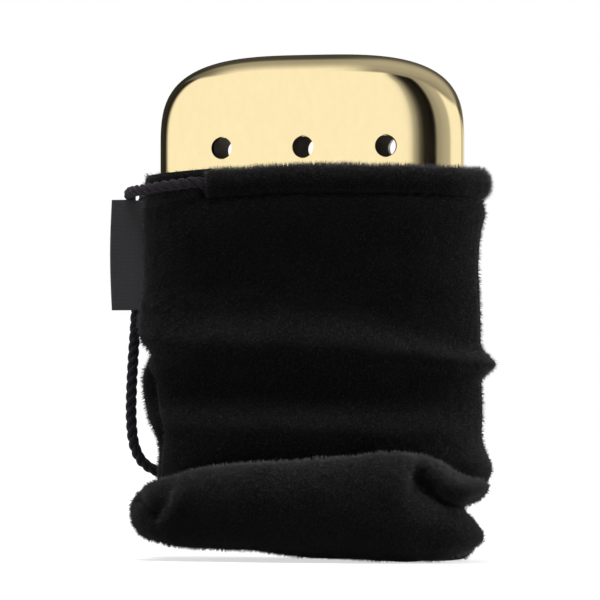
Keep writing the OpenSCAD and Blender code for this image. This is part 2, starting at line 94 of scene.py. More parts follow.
# Middle lines of the drawcord's free parts, from the hem to the knot
FRONT_ROUTE = [
    (-22, -9.5, 78.8), (-25, -9.4, 78.5), (-28.5, -8.7, 78.2), (-32, -7.5, 77.8), (-35.2, -5.7, 77.5),
    (-38, -3.2, 77.3), (-39.9, -0.2, 77), (-40.6, 2.5, 75.9), (-40.7, 4.2, 73), (-40.3, 4.6, 69.5),
    (-39.8, 4.3, 63), (-39.6, 3.9, 56), (-39.7, 3.2, 49), (-40, 2.6, 42), (-40.3, 2.4, 35),
    (-40.4, 2.6, 29), (-40.2, 3.6, 24.2), (-39.3, 5.2, 20.8), (-37.6, 7, 18.8), (-35.5, 8.2, 17.8),
    (-33.3, 8.8, 17.4), (-31.7, 8.9, 17.2),
]
BACK_ROUTE = [
    (-22, 9.6, 79.2), (-25, 9.8, 79.9), (-28.5, 9.8, 80.7), (-32, 9.6, 81.1), (-35.3, 9.1, 80.6),
    (-37.9, 8.5, 79), (-39.4, 8.1, 76.4), (-39.7, 7.9, 73), (-39.2, 7.6, 67.4), (-38.2, 7.2, 59.4),
    (-37, 7, 51.4), (-35.8, 7, 43.4), (-34.6, 7.2, 35.4), (-33.3, 7.7, 28), (-31.8, 8.3, 22.6),
    (-30.8, 8.8, 19.2),
]
KNOT_AT = np.array([-30.3, 8.8, 17.2])

# ---------- camera ----------

AZIMUTH, ELEVATION, DISTANCE = math.radians(16.0), math.radians(-1.1), 1.0
TARGET = Vector((-0.00224, -0.00064, 0.0542))
camera = bpy.data.objects.new("camera", bpy.data.cameras.new("camera"))
bpy.context.scene.collection.objects.link(camera)
back = Vector((
    math.sin(AZIMUTH) * math.cos(ELEVATION),
    -math.cos(AZIMUTH) * math.cos(ELEVATION),
    math.sin(ELEVATION),
))
camera.location = TARGET + back * DISTANCE
camera.rotation_euler = back.to_track_quat("Z", "Y").to_euler()
camera.data.angle = math.radians(7.19)
camera.data.clip_start = 0.01
bpy.context.scene.camera = camera

# ---------- mesh helpers ----------


def put(name, verts, faces, body, smooth=True):
    """A mesh piece from points in millimetres, riding on a body."""
    mesh = bpy.data.meshes.new(name)
    faces = faces.tolist() if isinstance(faces, np.ndarray) else faces
    mesh.from_pydata((np.asarray(verts, dtype=float) * MM).tolist(), [], faces)
    mesh.validate()
    mesh.polygons.foreach_set("use_smooth", [smooth] * len(mesh.polygons))
    obj = bpy.data.objects.new(name, mesh)
    bpy.context.scene.collection.objects.link(obj)
    if body:
        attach(obj, body)
    return obj


def grid_faces(rows, cols, base=0, wrap=False, flip=False):
    """Quads of a grid of rows by cols points; wrap joins the last column to the first."""
    j = np.arange(rows - 1)[:, None]
    i = np.arange(cols if wrap else cols - 1)[None, :]
    a = base + j * cols + i
    b = base + j * cols + (i + 1) % cols
    quads = np.stack([a, b, b + cols, a + cols], axis=-1).reshape(-1, 4)
    return quads[:, ::-1] if flip else quads


def shell_faces(rows, cols):
    """Quads of two grids, outside and inside, joined along their four edges."""
    base = rows * cols
    left, bottom = np.arange(rows - 1) * cols, np.arange(cols - 1)
    right, top = left + cols - 1, (rows - 1) * cols + bottom
    return np.vstack([
        grid_faces(rows, cols), grid_faces(rows, cols, base, flip=True),
        np.stack([left + cols, base + left + cols, base + left, left], axis=1),
        np.stack([right, base + right, base + right + cols, right + cols], axis=1),
        np.stack([base + bottom, base + bottom + 1, bottom + 1, bottom], axis=1),
        np.stack([top, top + 1, base + top + 1, base + top], axis=1),
    ])


def capped_tube(rings, first_tip, last_tip):
    """Points and faces of a tube through rings of points, closed by a tip at each end."""
    rows, sides = rings.shape[:2]
    faces = grid_faces(rows, sides, wrap=True).tolist()
    tip, end = rows * sides, (rows - 1) * sides
    for i in range(sides):
        j = (i + 1) % sides
        faces += [(j, i, tip), (end + i, end + j, tip + 1)]
    return np.vstack([rings.reshape(-1, 3), first_tip, last_tip]), faces


def merged(parts):
    """Points and faces of several parts as one."""
    verts, faces, base = [], [], 0
    for v, f in parts:
        verts.append(v)
        faces += [tuple(base + int(i) for i in q) for q in f]
        base += len(v)
    return np.vstack(verts), faces


def get_points(mesh):
    """Points, in millimetres, and normals of a mesh."""
    co, no = np.empty(len(mesh.vertices) * 3), np.empty(len(mesh.vertices) * 3)
    mesh.vertices.foreach_get("co", co)
    mesh.vertices.foreach_get("normal", no)
    return co.reshape(-1, 3) / MM, no.reshape(-1, 3)


def set_points(mesh, co):
    mesh.vertices.foreach_set("co", (co * MM).ravel())
    mesh.polygons.foreach_set("use_smooth", [True] * len(mesh.polygons))
    mesh.update()


def weld(mesh, apart, thin=None):
    """Joins points less than apart from each other, and turns all faces outwards."""
    bm = bmesh.new()
    bm.from_mesh(mesh)
    bmesh.ops.remove_doubles(bm, verts=bm.verts, dist=apart)
    if thin:
        bmesh.ops.dissolve_degenerate(bm, edges=bm.edges, dist=thin)
    bmesh.ops.recalc_face_normals(bm, faces=bm.faces)
    bm.to_mesh(mesh)
    bm.free()


def unit(v):
    return v / np.linalg.norm(v, axis=-1, keepdims=True)


def along_line(points):
    """How far each point lies along a line from its first point."""
    return np.concatenate([[0], np.cumsum(np.linalg.norm(np.diff(points, axis=0), axis=1))])


def smoothstep(x, low, high):
    t = np.clip((np.asarray(x, dtype=float) - low) / (high - low), 0, 1)
    return t * t * (3 - 2 * t)


def noise_at(points, scale, seed):
    """Perlin noise at points in millimetres, with features of about scale."""
    flat = np.asarray(points, dtype=float).reshape(-1, 3) / scale + seed
    out = np.fromiter((noise.noise(Vector(p)) for p in flat), dtype=float, count=len(flat))
    return out.reshape(np.asarray(points).shape[:-1])


def ripples(points, layers):
    """Sum of layers of noise, each (height, scale, seed)."""
    return sum(height * noise_at(points, scale, seed) for height, scale, seed in layers)


def bell(d):
    return np.exp(-d ** 2)


def spow(v, e):
    """Signed power, for superellipses."""
    return np.sign(v) * np.abs(v) ** e


def grid_normals(grid):
    """Unit normals of a grid of points."""
    n = np.cross(np.gradient(grid, axis=1), np.gradient(grid, axis=0))
    return n / np.maximum(np.linalg.norm(n, axis=-1, keepdims=True), 1e-9)


# ---------- metal case ----------


def end_scale(s, n):
    """Scale of a rounded end, from 1 at its start to 0 at its tip."""
    s = np.clip(s, 0, 1)
    return np.maximum(0, 1 - s ** n) ** (1 / n)


def case_half_w(h, i):
    return ((CASE_W / 2 - i) * end_scale((h - CASE_H + TOP_ROUND) / (TOP_ROUND - i), TOP_POW)
            * end_scale((FOOT_ROUND - h) / (FOOT_ROUND - i), FOOT_POW))


def case_half_t(h, i):
    return ((CASE_T / 2 - i) * end_scale((h - CASE_H + EDGE_ROUND) / (EDGE_ROUND - i), EDGE_POW)
            * end_scale((EDGE_ROUND - h) / (EDGE_ROUND - i), EDGE_POW))


# Quarter of the case's level section, evenly spaced: share 1 is the side and 0 the middle of a face
_turn = np.linspace(0, math.pi / 2, 6000)
_x, _y = np.cos(_turn) ** (2 / ACROSS), np.sin(_turn)
_s = along_line(np.column_stack([_x * CASE_W / 2, _y * CASE_T / 2]))
_share = 1 - _s / _s[-1]


def section(u):
    """Point of the case's unit section at u, from -1, its left side, to 1, its right side."""
    x = np.interp(np.abs(u), _share[::-1], _x[::-1])
    y = np.interp(np.abs(u), _share[::-1], _y[::-1])
    return np.sign(u) * x, y


def section_u(x):
    """The u at which the unit section has this x."""
    return np.sign(x) * np.interp(np.abs(x), _x[::-1], _share[::-1])


def on_case(u, h, i, side):
    """Point of the case at u and height h above its foot, inset by i; side is -1 in front, 1 behind."""
    x, y = section(u)
    return np.stack([case_half_w(h, i) * x, side * case_half_t(h, i) * y, FOOT_GAP + h + 0 * x], axis=-1)


class Shell:
    """Points and faces gathered from several surfaces, welded into one mesh."""

    def __init__(self):
        self.parts = []

    def add(self, points, faces):
        self.parts.append((np.asarray(points, dtype=float).reshape(-1, 3), faces))

    def add_fan(self, row, tip):
        """Triangles from a row of points to a tip."""
        self.add(np.vstack([row, [tip]]), [(i, i + 1, len(row)) for i in range(len(row) - 1)])

    def make(self, name, body, sharp):
        obj = put(name, *merged(self.parts), body)
        weld(obj.data, 2e-6, 1e-7)
        obj.data.polygons.foreach_set("use_smooth", [True] * len(obj.data.polygons))
        obj.data.set_sharp_from_angle(angle=math.radians(sharp))
        return obj


# Half the block of faces that a vent replaces, and the rings of points round the hole
VENT_BLOCK = 4.2
RIM_STEPS, RIM_RINGS = 64, (0, 0.12, 0.5, 1.0)


def vent_block(us, hs, columns, rows, centre):
    """Triangles round one vent hole in (u, h), and the loop of its rim."""
    width = CASE_W / 2
    (i0, i1), (j0, j1) = columns, rows
    border = [(i, j0) for i in range(i0, i1)] + [(i1, j) for j in range(j0, j1)]
    border += [(i, j1) for i in range(i1, i0, -1)] + [(i0, j) for j in range(j1, j0, -1)]
    n = len(border)
    pts = [(us[i], hs[j]) for i, j in border]
    t = 2 * math.pi * np.arange(RIM_STEPS) / RIM_STEPS
    for wider in RIM_RINGS:
        r = VENT_D / 2 + wider
        x, h = centre[0] + r * np.cos(t), centre[1] + r * np.sin(t)
        pts += list(zip(section_u(x / case_half_w(h, 0)), h))
    edges = [(k, (k + 1) % n) for k in range(n)]
    edges += [(n + k, n + (k + 1) % RIM_STEPS) for k in range(RIM_STEPS)]
    flat = [Vector((u * width, h)) for u, h in pts]
    made, _, tris, sources = geometry.delaunay_2d_cdt(flat, edges, [], 0, 1e-7)[:4]
    uh = np.array([(v.x / width, v.y) for v in made])
    keep = []
    for f in tris:
        u, h = uh[list(f)].mean(axis=0)
        x = section(np.array(u))[0] * case_half_w(h, 0)
        if math.hypot(x - centre[0], h - centre[1]) > VENT_D / 2 * 0.985:
            keep.append(f)
    new_of = {old: new for new, olds in enumerate(sources) for old in olds}
    return uh, keep, [new_of[n + k] for k in range(RIM_STEPS)]


def build_cap():
    us = np.linspace(-1, 1, 181)
    n = len(us)
    rim_h, crown_h = CASE_H - CAP_H + CAP_GAP, CASE_H - TOP_ROUND
    low = np.linspace(rim_h, crown_h, 30)
    high = crown_h + TOP_ROUND * np.sin(np.radians(np.linspace(0, 89.3, 64)))[1:]
    hs = np.concatenate([low, high])
    vent_h = CASE_H - VENT_DROP
    vent_x = section(us)[0] * case_half_w(vent_h, 0)
    blocks = []
    for k in range(VENTS):
        at = ((k - (VENTS - 1) / 2) * VENT_PITCH, vent_h)
        cols, rows = ([int(np.argmax(line >= c + d)) for d in (-VENT_BLOCK, VENT_BLOCK)]
                      for line, c in zip((vent_x, hs), at))
        blocks.append((cols, rows, at))
    faces = []
    for j in range(len(hs) - 1):
        for i in range(n - 1):
            if not any(c[0] <= i < c[1] and r[0] <= j < r[1] for c, r, _ in blocks):
                faces.append((j * n + i, j * n + i + 1, (j + 1) * n + i + 1, (j + 1) * n + i))
    shell = Shell()
    inset_rows = {0: hs, WALL: np.where(
        hs > crown_h, crown_h + (hs - CASE_H + TOP_ROUND) * (TOP_ROUND - WALL) / TOP_ROUND, hs)}
    for side in (-1, 1):
        rims = {}
        for inset, rows_h in inset_rows.items():
            u_grid, h_grid = np.meshgrid(us, rows_h)
            points = on_case(u_grid, h_grid, inset, side)
            shell.add(points, faces)
            shell.add_fan(points[-1], [0, 0, FOOT_GAP + CASE_H - inset])
            rims[inset] = []
            for block in blocks:
                uh, tris, rim = vent_block(us, hs, *block)
                points = on_case(uh[:, 0], np.interp(uh[:, 1], hs, rows_h), inset, side)
                shell.add(points, tris)
                rims[inset].append(points[rim])
        for outer, inner in zip(rims[0], rims[WALL]):
            m = len(outer)
            shell.add(np.vstack([outer, inner]), grid_faces(2, m, wrap=True))
        edges = [on_case(us, np.full_like(us, rim_h), inset, side) for inset in (0, WALL)]
        shell.add(np.vstack(edges), grid_faces(2, n))
    return shell.make("cap_shell", "cap", 50)


def build_tank():
    us = np.linspace(-1, 1, 161)
    shoulder = CASE_H - CAP_H
    foot = FOOT_ROUND - FOOT_ROUND * np.sin(np.radians(np.linspace(0, 89.2, 56)))[1:]
    # rows of (height, inset), from the top of the band down
    outer = [(shoulder + BAND_H, BAND_IN), (shoulder + BAND_H - 0.25, BAND_IN),
             (shoulder + 0.02, BAND_IN), (shoulder, BAND_IN - 0.05), (shoulder, 0.25),
             (shoulder - 0.08, 0.08), (shoulder - 0.25, 0)]
    outer += [(h, 0) for h in np.linspace(shoulder - 0.5, FOOT_ROUND, 24)] + [(h, 0) for h in foot]
    inner = [(shoulder + BAND_H, BAND_IN + WALL), (shoulder - WALL, BAND_IN + WALL),
             (shoulder - WALL - BAND_IN, WALL), (FOOT_ROUND, WALL)]
    inner += [(FOOT_ROUND - (FOOT_ROUND - h) * (FOOT_ROUND - WALL) / FOOT_ROUND, WALL) for h in foot]
    shell = Shell()
    for side in (-1, 1):
        tops = []
        for rows, tip in ((outer, FOOT_GAP), (inner, FOOT_GAP + WALL)):
            points = np.array([on_case(us, np.full_like(us, h), i, side) for h, i in rows])
            shell.add(points, grid_faces(len(rows), len(us)))
            shell.add_fan(points[-1], [0, 0, tip])
            tops.append(points[0])
        shell.add(np.vstack(tops), grid_faces(2, len(us)))
    return shell.make("tank_body", "warmer", 40)


# ---------- drawcord ----------


MOUTH_TILT = 0.45


def mouth_drop(x):
    """How far the mouth of the pouch hangs below its middle; it is a little lower on the left."""
    tilt = smoothstep(-x, 0, 14) - smoothstep(x, 12, 32)
    return MOUTH_DROP * (x / POUCH_W) ** 2 + MOUTH_TILT * tilt


def hem_point(a):
    """Middle line of the hem at angle a in degrees."""
    a = np.radians(np.asarray(a, dtype=float))
    x = MOUTH_W * spow(np.cos(a), 2 / ACROSS)
    return np.stack([x, MOUTH_D * np.sin(a), HEM_Z - mouth_drop(x)], axis=-1)


def resample(points, step):
    """The same line with evenly spaced points."""
    points = np.asarray(points, dtype=float)
    s = along_line(points)
    count = max(2, int(round(s[-1] / step)) + 1)
    t = np.linspace(0, s[-1], count)
    return np.stack([np.interp(t, s, points[:, k]) for k in range(3)], axis=1)


def spline(points, step):
    """Smooth curve through points, evenly spaced."""
    p = np.asarray(points, dtype=float)
    p = np.vstack([2 * p[0] - p[1], p, 2 * p[-1] - p[-2]])
    out = []
    for k in range(1, len(p) - 2):
        p0, p1, p2, p3 = p[k - 1:k + 3]
        t = np.linspace(0, 1, 24, endpoint=False)[:, None]
        out.append(0.5 * (2 * p1 + (p2 - p0) * t + (2 * p0 - 5 * p1 + 4 * p2 - p3) * t ** 2
                          + (3 * p1 - p0 - 3 * p2 + p3) * t ** 3))
    out.append(p[-2:-1])
    return resample(np.vstack(out), step)


def flat_spline(points, step):
    """Spline through points (x, z)."""
    p = np.array(points, dtype=float)
    return spline(np.column_stack([p[:, 0], 0 * p[:, 0], p[:, 1]]), step)[:, [0, 2]]


CORD_SIDE = (0, 0.3, 1)
STRANDS, LAY_PITCH, STRAND_SIDES = 3, 6.3, 12
STRAND_R, OFF_AXIS, STRAND_FLAT = 0.235, 0.265, 1.06


def frames_along(path, start=CORD_SIDE):
    """Tangents and carried normals of a path."""
    t = unit(np.gradient(path, axis=0))
    n = np.array(start, dtype=float)
    normals = []
    for v in t:
        n = n - v * n.dot(v)
        n /= np.linalg.norm(n)
        normals.append(n)
    normals = np.array(normals)
    return t, normals, np.cross(t, normals)


def ring_points(centre, a, b, sides):
    """Ring of points round each centre, in the plane of a and b."""
    t = 2 * math.pi * np.arange(sides) / sides
    return centre[:, None, :] + (np.cos(t)[None, :, None] * a[:, None, :] + np.sin(t)[None, :, None] * b[:, None, :])


def twist(path, diameter, phase=0.0, start=CORD_SIDE, taper=1.0):
    """Three twisted strands along a path: points and faces."""
    _, n, b = frames_along(path, start)
    s = along_line(path) + phase
    scale = (taper * np.ones(len(path)))[:, None]
    parts = []
    for k in range(STRANDS):
        angle = 2 * math.pi * (s / LAY_PITCH + k / STRANDS)
        out = n * np.cos(angle)[:, None] + b * np.sin(angle)[:, None]
        centre = path + OFF_AXIS * diameter * scale * out
        along = frames_along(centre)[0]
        out = unit(out - along * np.sum(out * along, axis=1)[:, None])
        r = scale * STRAND_R * diameter
        rings = ring_points(centre, r * out, r * STRAND_FLAT * np.cross(along, out), STRAND_SIDES)
        parts.append(capped_tube(rings, centre[:1], centre[-1:]))
    return merged(parts)


def build_cords():
    """The drawcord in front, in the hem and behind, and the paths of its two free parts."""
    step = 0.32
    inside = hem_point(np.linspace(180 + EXIT_ANGLE, 540 - EXIT_ANGLE, 240))
    whole = spline(np.vstack([np.array(FRONT_ROUTE[::-1]), resample(inside, 4.0), np.array(BACK_ROUTE)]), step)
    i0 = int(np.argmin(np.linalg.norm(whole - inside[0], axis=1)))
    i1 = int(np.argmin(np.linalg.norm(whole - inside[-1], axis=1)))
    normals = frames_along(whole)[1]
    pieces = []
    for name, low, high in (("drawcord_front_strands", 0, i0), ("drawcord_hem_strands", i0, i1),
                            ("drawcord_back_strands", i1, len(whole) - 1)):
        pieces.append(put(name, *twist(whole[low:high + 1], CORD_D, low * step, normals[low]), "pouch"))
    return pieces, whole[:i0 + 1][::-1], whole[i1:]


def build_knot():
    """Overhand knot of the two cord ends, with two short tails."""
    t = np.linspace(0, 2 * math.pi, 90)
    loop = np.stack([np.sin(t) + 1.7 * np.sin(2 * t), np.cos(t) - 1.7 * np.cos(2 * t), -1.35 * np.sin(3 * t)], axis=1)
    loop = loop[:, [0, 2, 1]] * 0.82
    parts = [twist(loop + KNOT_AT, CORD_D * 0.9)]
    for lean_x, lean_y, length, phase in ((2.0, 0.7, 9.2, 1.0), (-2.2, -0.3, 8.7, 2.4)):
        k = np.linspace(0, 1, 40)[:, None]
        tail = KNOT_AT + np.array([lean_x, lean_y, -length]) * k
        tail[:, 0] += 0.5 * np.sin(2.4 * k[:, 0]) * np.sign(lean_x)
        taper = 1 - 0.25 * smoothstep(k[:, 0], 0.8, 1.0)
        parts.append(twist(tail, CORD_D, phase, taper=taper))
    return put("cord_knot", *merged(parts), "pouch")


# ---------- pouch ----------


# Unevenness of the soft pieces, as layers of (height, scale, seed)
PANEL_RIPPLES = [(0.3, 19.0, 6.3), (0.16, 7.0, 3.1), (0.1, 2.6, 8.4), (0.06, 1.0, 1.7)]
HEM_RIPPLES = [(0.26, 5.5, 5.5), (0.12, 1.6, 9.1)]
END_RIPPLES = [(0.3, 8.0, 2.2), (0.12, 2.8, 6.6), (0.06, 1.0, 4.4)]
FLUFF_RIPPLES = [(1.0, 3.0, 1.5), (0.5, 1.1, 7.7)]
# Length of the rounded lip where the cord leaves the hem, and the room round the cord in its channel
LIP, CHANNEL_FIT = 2.4, 0.25


def folds_at(folds, z):
    """How far folds carry a side edge of the pouch outwards at height z."""
    return sum(f[2] * bell((z - f[0]) / f[1]) for f in folds)


def hump(z, crest, above, below):
    """Bump of height 1 along z, with its own width above and below the crest."""
    d = z - crest
    return bell(d / np.where(d > 0, above, below))


def front_relief(share, z):
    """How far the folds carry the front panel out of its plane."""
    right = smoothstep(share, 0.1, 1.0)
    # the upper ridge droops and narrows towards the right
    crest = 44.4 - 1.2 * share - 1.8 * np.maximum(share, 0) ** 3
    upper = 3.9 * hump(z, crest, 4.9 - 1.9 * right, 7.0 - 4.2 * right)
    # below the lower ridge the cloth stays out, down to the folded end
    lower = 3.9 * hump(z, 26.7 - 0.8 * share, 4.7, 25.0)
    shallow = 1.0 * hump(z, 66 - 2 * share, 7.0, 7.5)
    hollow = 0.4 * hump(z, 57.5 - 1.5 * share, 3.0, 3.0) * smoothstep(-share, -0.3, 0.6)
    return upper + lower + shallow - hollow


def back_relief(share, z):
    """The same for the back panel."""
    return sum(f[2] * bell((z - f[0] - f[3] * share) / f[1]) for f in BACK_FOLDS)


def mouth_flare(x, z):
    """How far the panel swells to meet the hem, pinched where the hem is sewn down."""
    sewn = smoothstep(x, -23.5, -19.5)
    swell = 2.4 * smoothstep(z, 62.5, 74.6) * (1 - smoothstep(z, 75.7, 77.4))
    pinch = 0.25 * bell((z - PANEL_TOP) / 0.75)
    swell = swell * (0.4 + 0.6 * smoothstep(x, -31, -15))
    return swell - sewn * pinch


def seam_shift(z):
    """How far the left seam wanders round to the front, in degrees, where the slack has slipped."""
    return 34 * smoothstep(-z, -47.5, -37) - 12 * smoothstep(-z, -30, -21)


def pouch_point(a, z, i):
    """Point of the pouch at angle a in degrees and height z, inset by i."""
    turn = np.radians(a)
    c, s = np.cos(turn), np.sin(turn)
    share = spow(c, 2 / ACROSS)
    w = POUCH_W - i + np.where(c > 0, folds_at(RIGHT_FOLDS, z), folds_at(LEFT_FOLDS, z))
    x = w * share
    d = POUCH_D - i + np.where(s < 0, front_relief(share, z), back_relief(share, z)) + mouth_flare(x, z)
    drop = -mouth_drop(x) * np.maximum(0, z - FOOT_GAP) / (PANEL_TOP - FOOT_GAP)
    puff = 0.35 * bell((a - 200) / 9) * smoothstep(-z, -46, -38)
    return np.stack([x - puff, d * s - puff, z + drop], axis=-1)


def pouch_angles(start, end, count):
    """Angles that space the points of a panel evenly."""
    a = np.linspace(start, end, 4000)
    p = pouch_point(a, np.full_like(a, 60.0), 0)
    s = along_line(p)
    return np.interp(np.linspace(0, s[-1], count), s, a)


def panel(name, start, end, rows, cols):
    """Fabric panel with an outside, an inside and rounded edges."""
    a, v = np.meshgrid(pouch_angles(start, end, cols), np.linspace(0, 1, rows))
    bottom = FOOT_GAP - 0.2
    z = bottom + (PANEL_TOP + 0.4 - bottom) * v
    if start == 180:
        a = 360 - (360 - a) * (180 - seam_shift(z)) / 180
    else:
        a = a * (180 + seam_shift(z)) / 180
    left = -POUCH_W * spow(np.cos(np.radians(a)), 2 / ACROSS)
    z = z + FLAP_RISE * smoothstep(left, 17.5, 20.5) * smoothstep(z, PANEL_TOP - 6, PANEL_TOP - 0.5)
    outer = pouch_point(a, z, 0)
    inner = pouch_point(a, z, FABRIC_T)
    normal = grid_normals(outer)
    if np.mean(np.sum(normal * (outer - [0, 0, 45]), axis=-1)) < 0:
        normal = -normal
    across = np.minimum(1, np.minimum(np.arange(cols), np.arange(cols)[::-1]) / 5.0)[None, :]
    edge = across * np.minimum(1, np.arange(rows)[::-1] / 4.0)[:, None]
    tuck = 0.55 * FABRIC_T * (1 - np.sqrt(np.clip(1 - (1 - edge) ** 2, 0, 1)))
    outer = outer + normal * (ripples(outer, PANEL_RIPPLES) * edge - tuck)[..., None]
    inner = inner + normal * (0.8 * tuck)[..., None]
    return put(name, np.vstack([outer.reshape(-1, 3), inner.reshape(-1, 3)]), shell_faces(rows, cols), "pouch")


def hem(name, start, end, open_start, count=220, around=44):
    """Turned-over hem: a soft tube round the channel of the drawcord, with a lip where the cord leaves it."""
    a = np.linspace(start, end, count)
    here = hem_point(a)
    along = unit(hem_point(a + 0.5) - hem_point(a - 0.5))
    out = unit(np.stack([along[:, 1], -along[:, 0], 0 * along[:, 0]], axis=1))
    up = np.cross(out, along)
    t = 2 * math.pi * np.arange(around) / around
    px = HEM_T / 2 * spow(np.cos(t), 0.8)
    pz = HEM_H / 2 * spow(np.sin(t), 0.72)
    px = px + (np.cos(t) > 0) * (0.15 * bell(pz / 1.4) - 0.25 * bell((pz + HEM_H / 2) / 0.8))
    s = along_line(here)
    lip = np.minimum(1, (s if open_start else s[-1] - s) / LIP)
    lip = np.sqrt(1 - (1 - lip) ** 2)[:, None]
    px = np.where(px > 0, px * (0.55 + 0.45 * lip), px)
    pz = np.where(pz > 0, pz * (0.95 + 0.05 * lip), pz * (0.9 + 0.1 * lip))
    pts = here[:, None, :] + out[:, None, :] * px[..., None] + up[:, None, :] * pz[..., None]
    pts = pts + unit(pts - here[:, None, :]) * ripples(pts, HEM_RIPPLES)[..., None]
    channel = (CORD_D / 2 + CHANNEL_FIT) * (0.68 + 0.32 * lip)
    inner = ring_points(here, channel * out, channel * up, around)
    base, last = count * around, (count - 1) * around
    k = np.arange(around)
    n = (k + 1) % around
    faces = [
        grid_faces(count, around, wrap=True), grid_faces(count, around, base, wrap=True, flip=True),
        np.stack([k, base + k, base + n, n], axis=1),
        np.stack([last + k, last + n, base + last + n, base + last + k], axis=1),
    ]
    return put(name, np.vstack([pts.reshape(-1, 3), inner.reshape(-1, 3)]), np.vstack(faces)[:, ::-1], "pouch")


def stitches(name, start, end):
    """Thread of the hem: short stitches lying in the sewn line, on the outside of the pouch."""
    line = pouch_point(np.linspace(start, end, 900), np.full(900, PANEL_TOP - 0.35), 0)
    line = resample(line, 0.1)
    # pitch and length in points of the line, and half the thread's thickness
    pitch, long, thick, sides, rings = 25, 15, 0.19, 8, 9
    parts = []
    for at in range(4, len(line) - long, pitch):
        path = line[at + np.linspace(0, long - 1, rings).astype(int)]
        t, n, b = frames_along(path, (0, 0, 1))
        swell = np.sin(np.linspace(0.25, math.pi - 0.25, rings))[:, None] ** 0.5
        path = path - 0.2 * np.cross(n, t) * (swell - 0.5)
        points = ring_points(path, thick * swell * n, thick * swell * b, sides)
        parts.append(capped_tube(points, path[:1] - t[:1] * 0.1, path[-1:] + t[-1:] * 0.1))
    return put(name, *merged(parts), "pouch")


# Folded end of the pouch, as seen from the front: outline (x, z) of each of its two lobes, the line
# (x, z) that it puffs out from, and its depth as (x, y of the middle, half depth)
ROLL_OUTLINE = [
    (-35.6, 10.4), (-35.2, 12.5), (-33.8, 14.3), (-31.6, 15.6), (-28.0, 17.2), (-24.1, 18.2), (-19.2, 19.2),
    (-9.5, 20.3), (1.3, 21.0), (12.0, 21.8), (18.8, 22.5), (22.4, 22.8), (24.4, 22.7), (26.1, 22.3),
    (27.3, 21.4), (27.7, 20.2), (27.5, 18.9), (27.4, 17.4), (27.9, 15.9), (28.9, 14.8), (30.3, 14.0),
    (31.9, 13.5), (33.3, 13.0), (34.6, 12.4), (36.0, 11.5), (37.4, 10.1), (38.6, 8.6), (39.7, 7.2), (40.4, 5.9),
    (40.6, 5.0), (40.3, 4.2), (39.4, 3.4), (38.1, 2.5), (36.0, 1.6), (33.5, 0.9), (29.9, 0.4),
    (24.0, 0.0), (15.1, 0.5), (9.2, 1.1), (2.4, 1.6), (-4.1, 1.9), (-10.6, 2.2), (-17.4, 2.3),
    (-21.8, 2.5), (-26.3, 3.1), (-29.2, 3.7), (-31.9, 4.4), (-33.8, 5.6), (-34.8, 7.0), (-35.4, 8.6),
]
ROLL_SPINE = [(-28, 10.8), (-8, 11.6), (12, 11.4), (24, 9.2), (35.0, 6.4)]
ROLL_DEPTH = [(-35, -13.6, 5.3), (-26, -14.6, 7.6), (-8, -16.6, 8.3), (12, -16.8, 8.4), (26, -15.6, 7.9),
              (40, -13.2, 4.8)]
LOBE_OUTLINE = [
    (18.0, 20.8), (22.4, 22.1), (25.5, 22.2), (27.6, 22.0), (29.9, 21.3), (32.2, 20.2), (34.1, 18.9),
    (35.6, 18.0), (37.7, 17.4), (39.7, 17.2), (41.1, 16.6), (41.4, 15.7), (41.0, 14.7), (40.3, 13.7),
    (39.4, 12.8), (38.3, 12.1), (37.1, 11.7), (35.6, 11.4), (34.1, 11.7), (31.5, 12.6), (27.0, 14.0), (18.0, 14.8),
]
LOBE_SPINE = [(20, 19.2), (27, 18.8), (33, 16.0), (38.3, 14.5)]
LOBE_DEPTH = [(18, -12.6, 5.4), (26, -12.4, 5.2), (28.5, -12.5, 5.2), (31.5, -13.2, 6.3), (35, -13.4, 6.7),
              (42, -12.4, 5.4)]
# Creases and ridges pressed into it: line of (x, z), width, height
CREASES = [
    ([(-25.0, 14.6), (-25.4, 12.2), (-26.6, 10.2)], 2.1, -1.3),
    ([(-32.2, 12.8), (-30.1, 11.3), (-28.3, 9.4)], 1.7, -1.0),
    ([(-30.0, 14.6), (-28.4, 12.6)], 1.8, 0.5),
    ([(-22.0, 14.4), (-22.4, 11.4), (-24.6, 8.6), (-28, 7.2)], 2.4, 0.5),
    ([(-22, 8.2), (-14, 7.8), (-5, 8.4)], 2.4, -0.4),
    ([(28.6, 18.4), (29.2, 16.8), (31.0, 15.2)], 1.7, -1.0),
]
# How far the form stays inside its outline, for the pile to stand on it
PILE_ROOM = 0.3


def pillow(outline, spine, depth, count=220, rings=26):
    """Closed puffed form with this outline: points and quads."""
    loop = flat_spline(outline + outline[:1], 0.5)
    s = along_line(loop)
    t = np.linspace(0, s[-1], count, endpoint=False)
    loop = np.stack([np.interp(t, s, loop[:, k]) for k in range(2)], axis=1)
    line = flat_spline(spine, 0.25)
    near = line[np.argmin(np.linalg.norm(loop[:, None, :] - line[None, :, :], axis=2), axis=1)]
    loop = loop - (loop - near) * (PILE_ROOM / np.linalg.norm(loop - near, axis=1))[:, None]
    at, middle, half = np.array(depth).T
    phi = np.linspace(0, math.pi, 2 * rings + 1)[:, None]
    x, z = (near[:, k] + (loop - near)[:, k] * np.sin(phi) ** 0.9 for k in (0, 1))
    y = np.interp(x, at, middle) - np.interp(x, at, half) * np.cos(phi)
    return np.stack([x, y, z], axis=-1).reshape(-1, 3), grid_faces(len(phi), count, wrap=True)


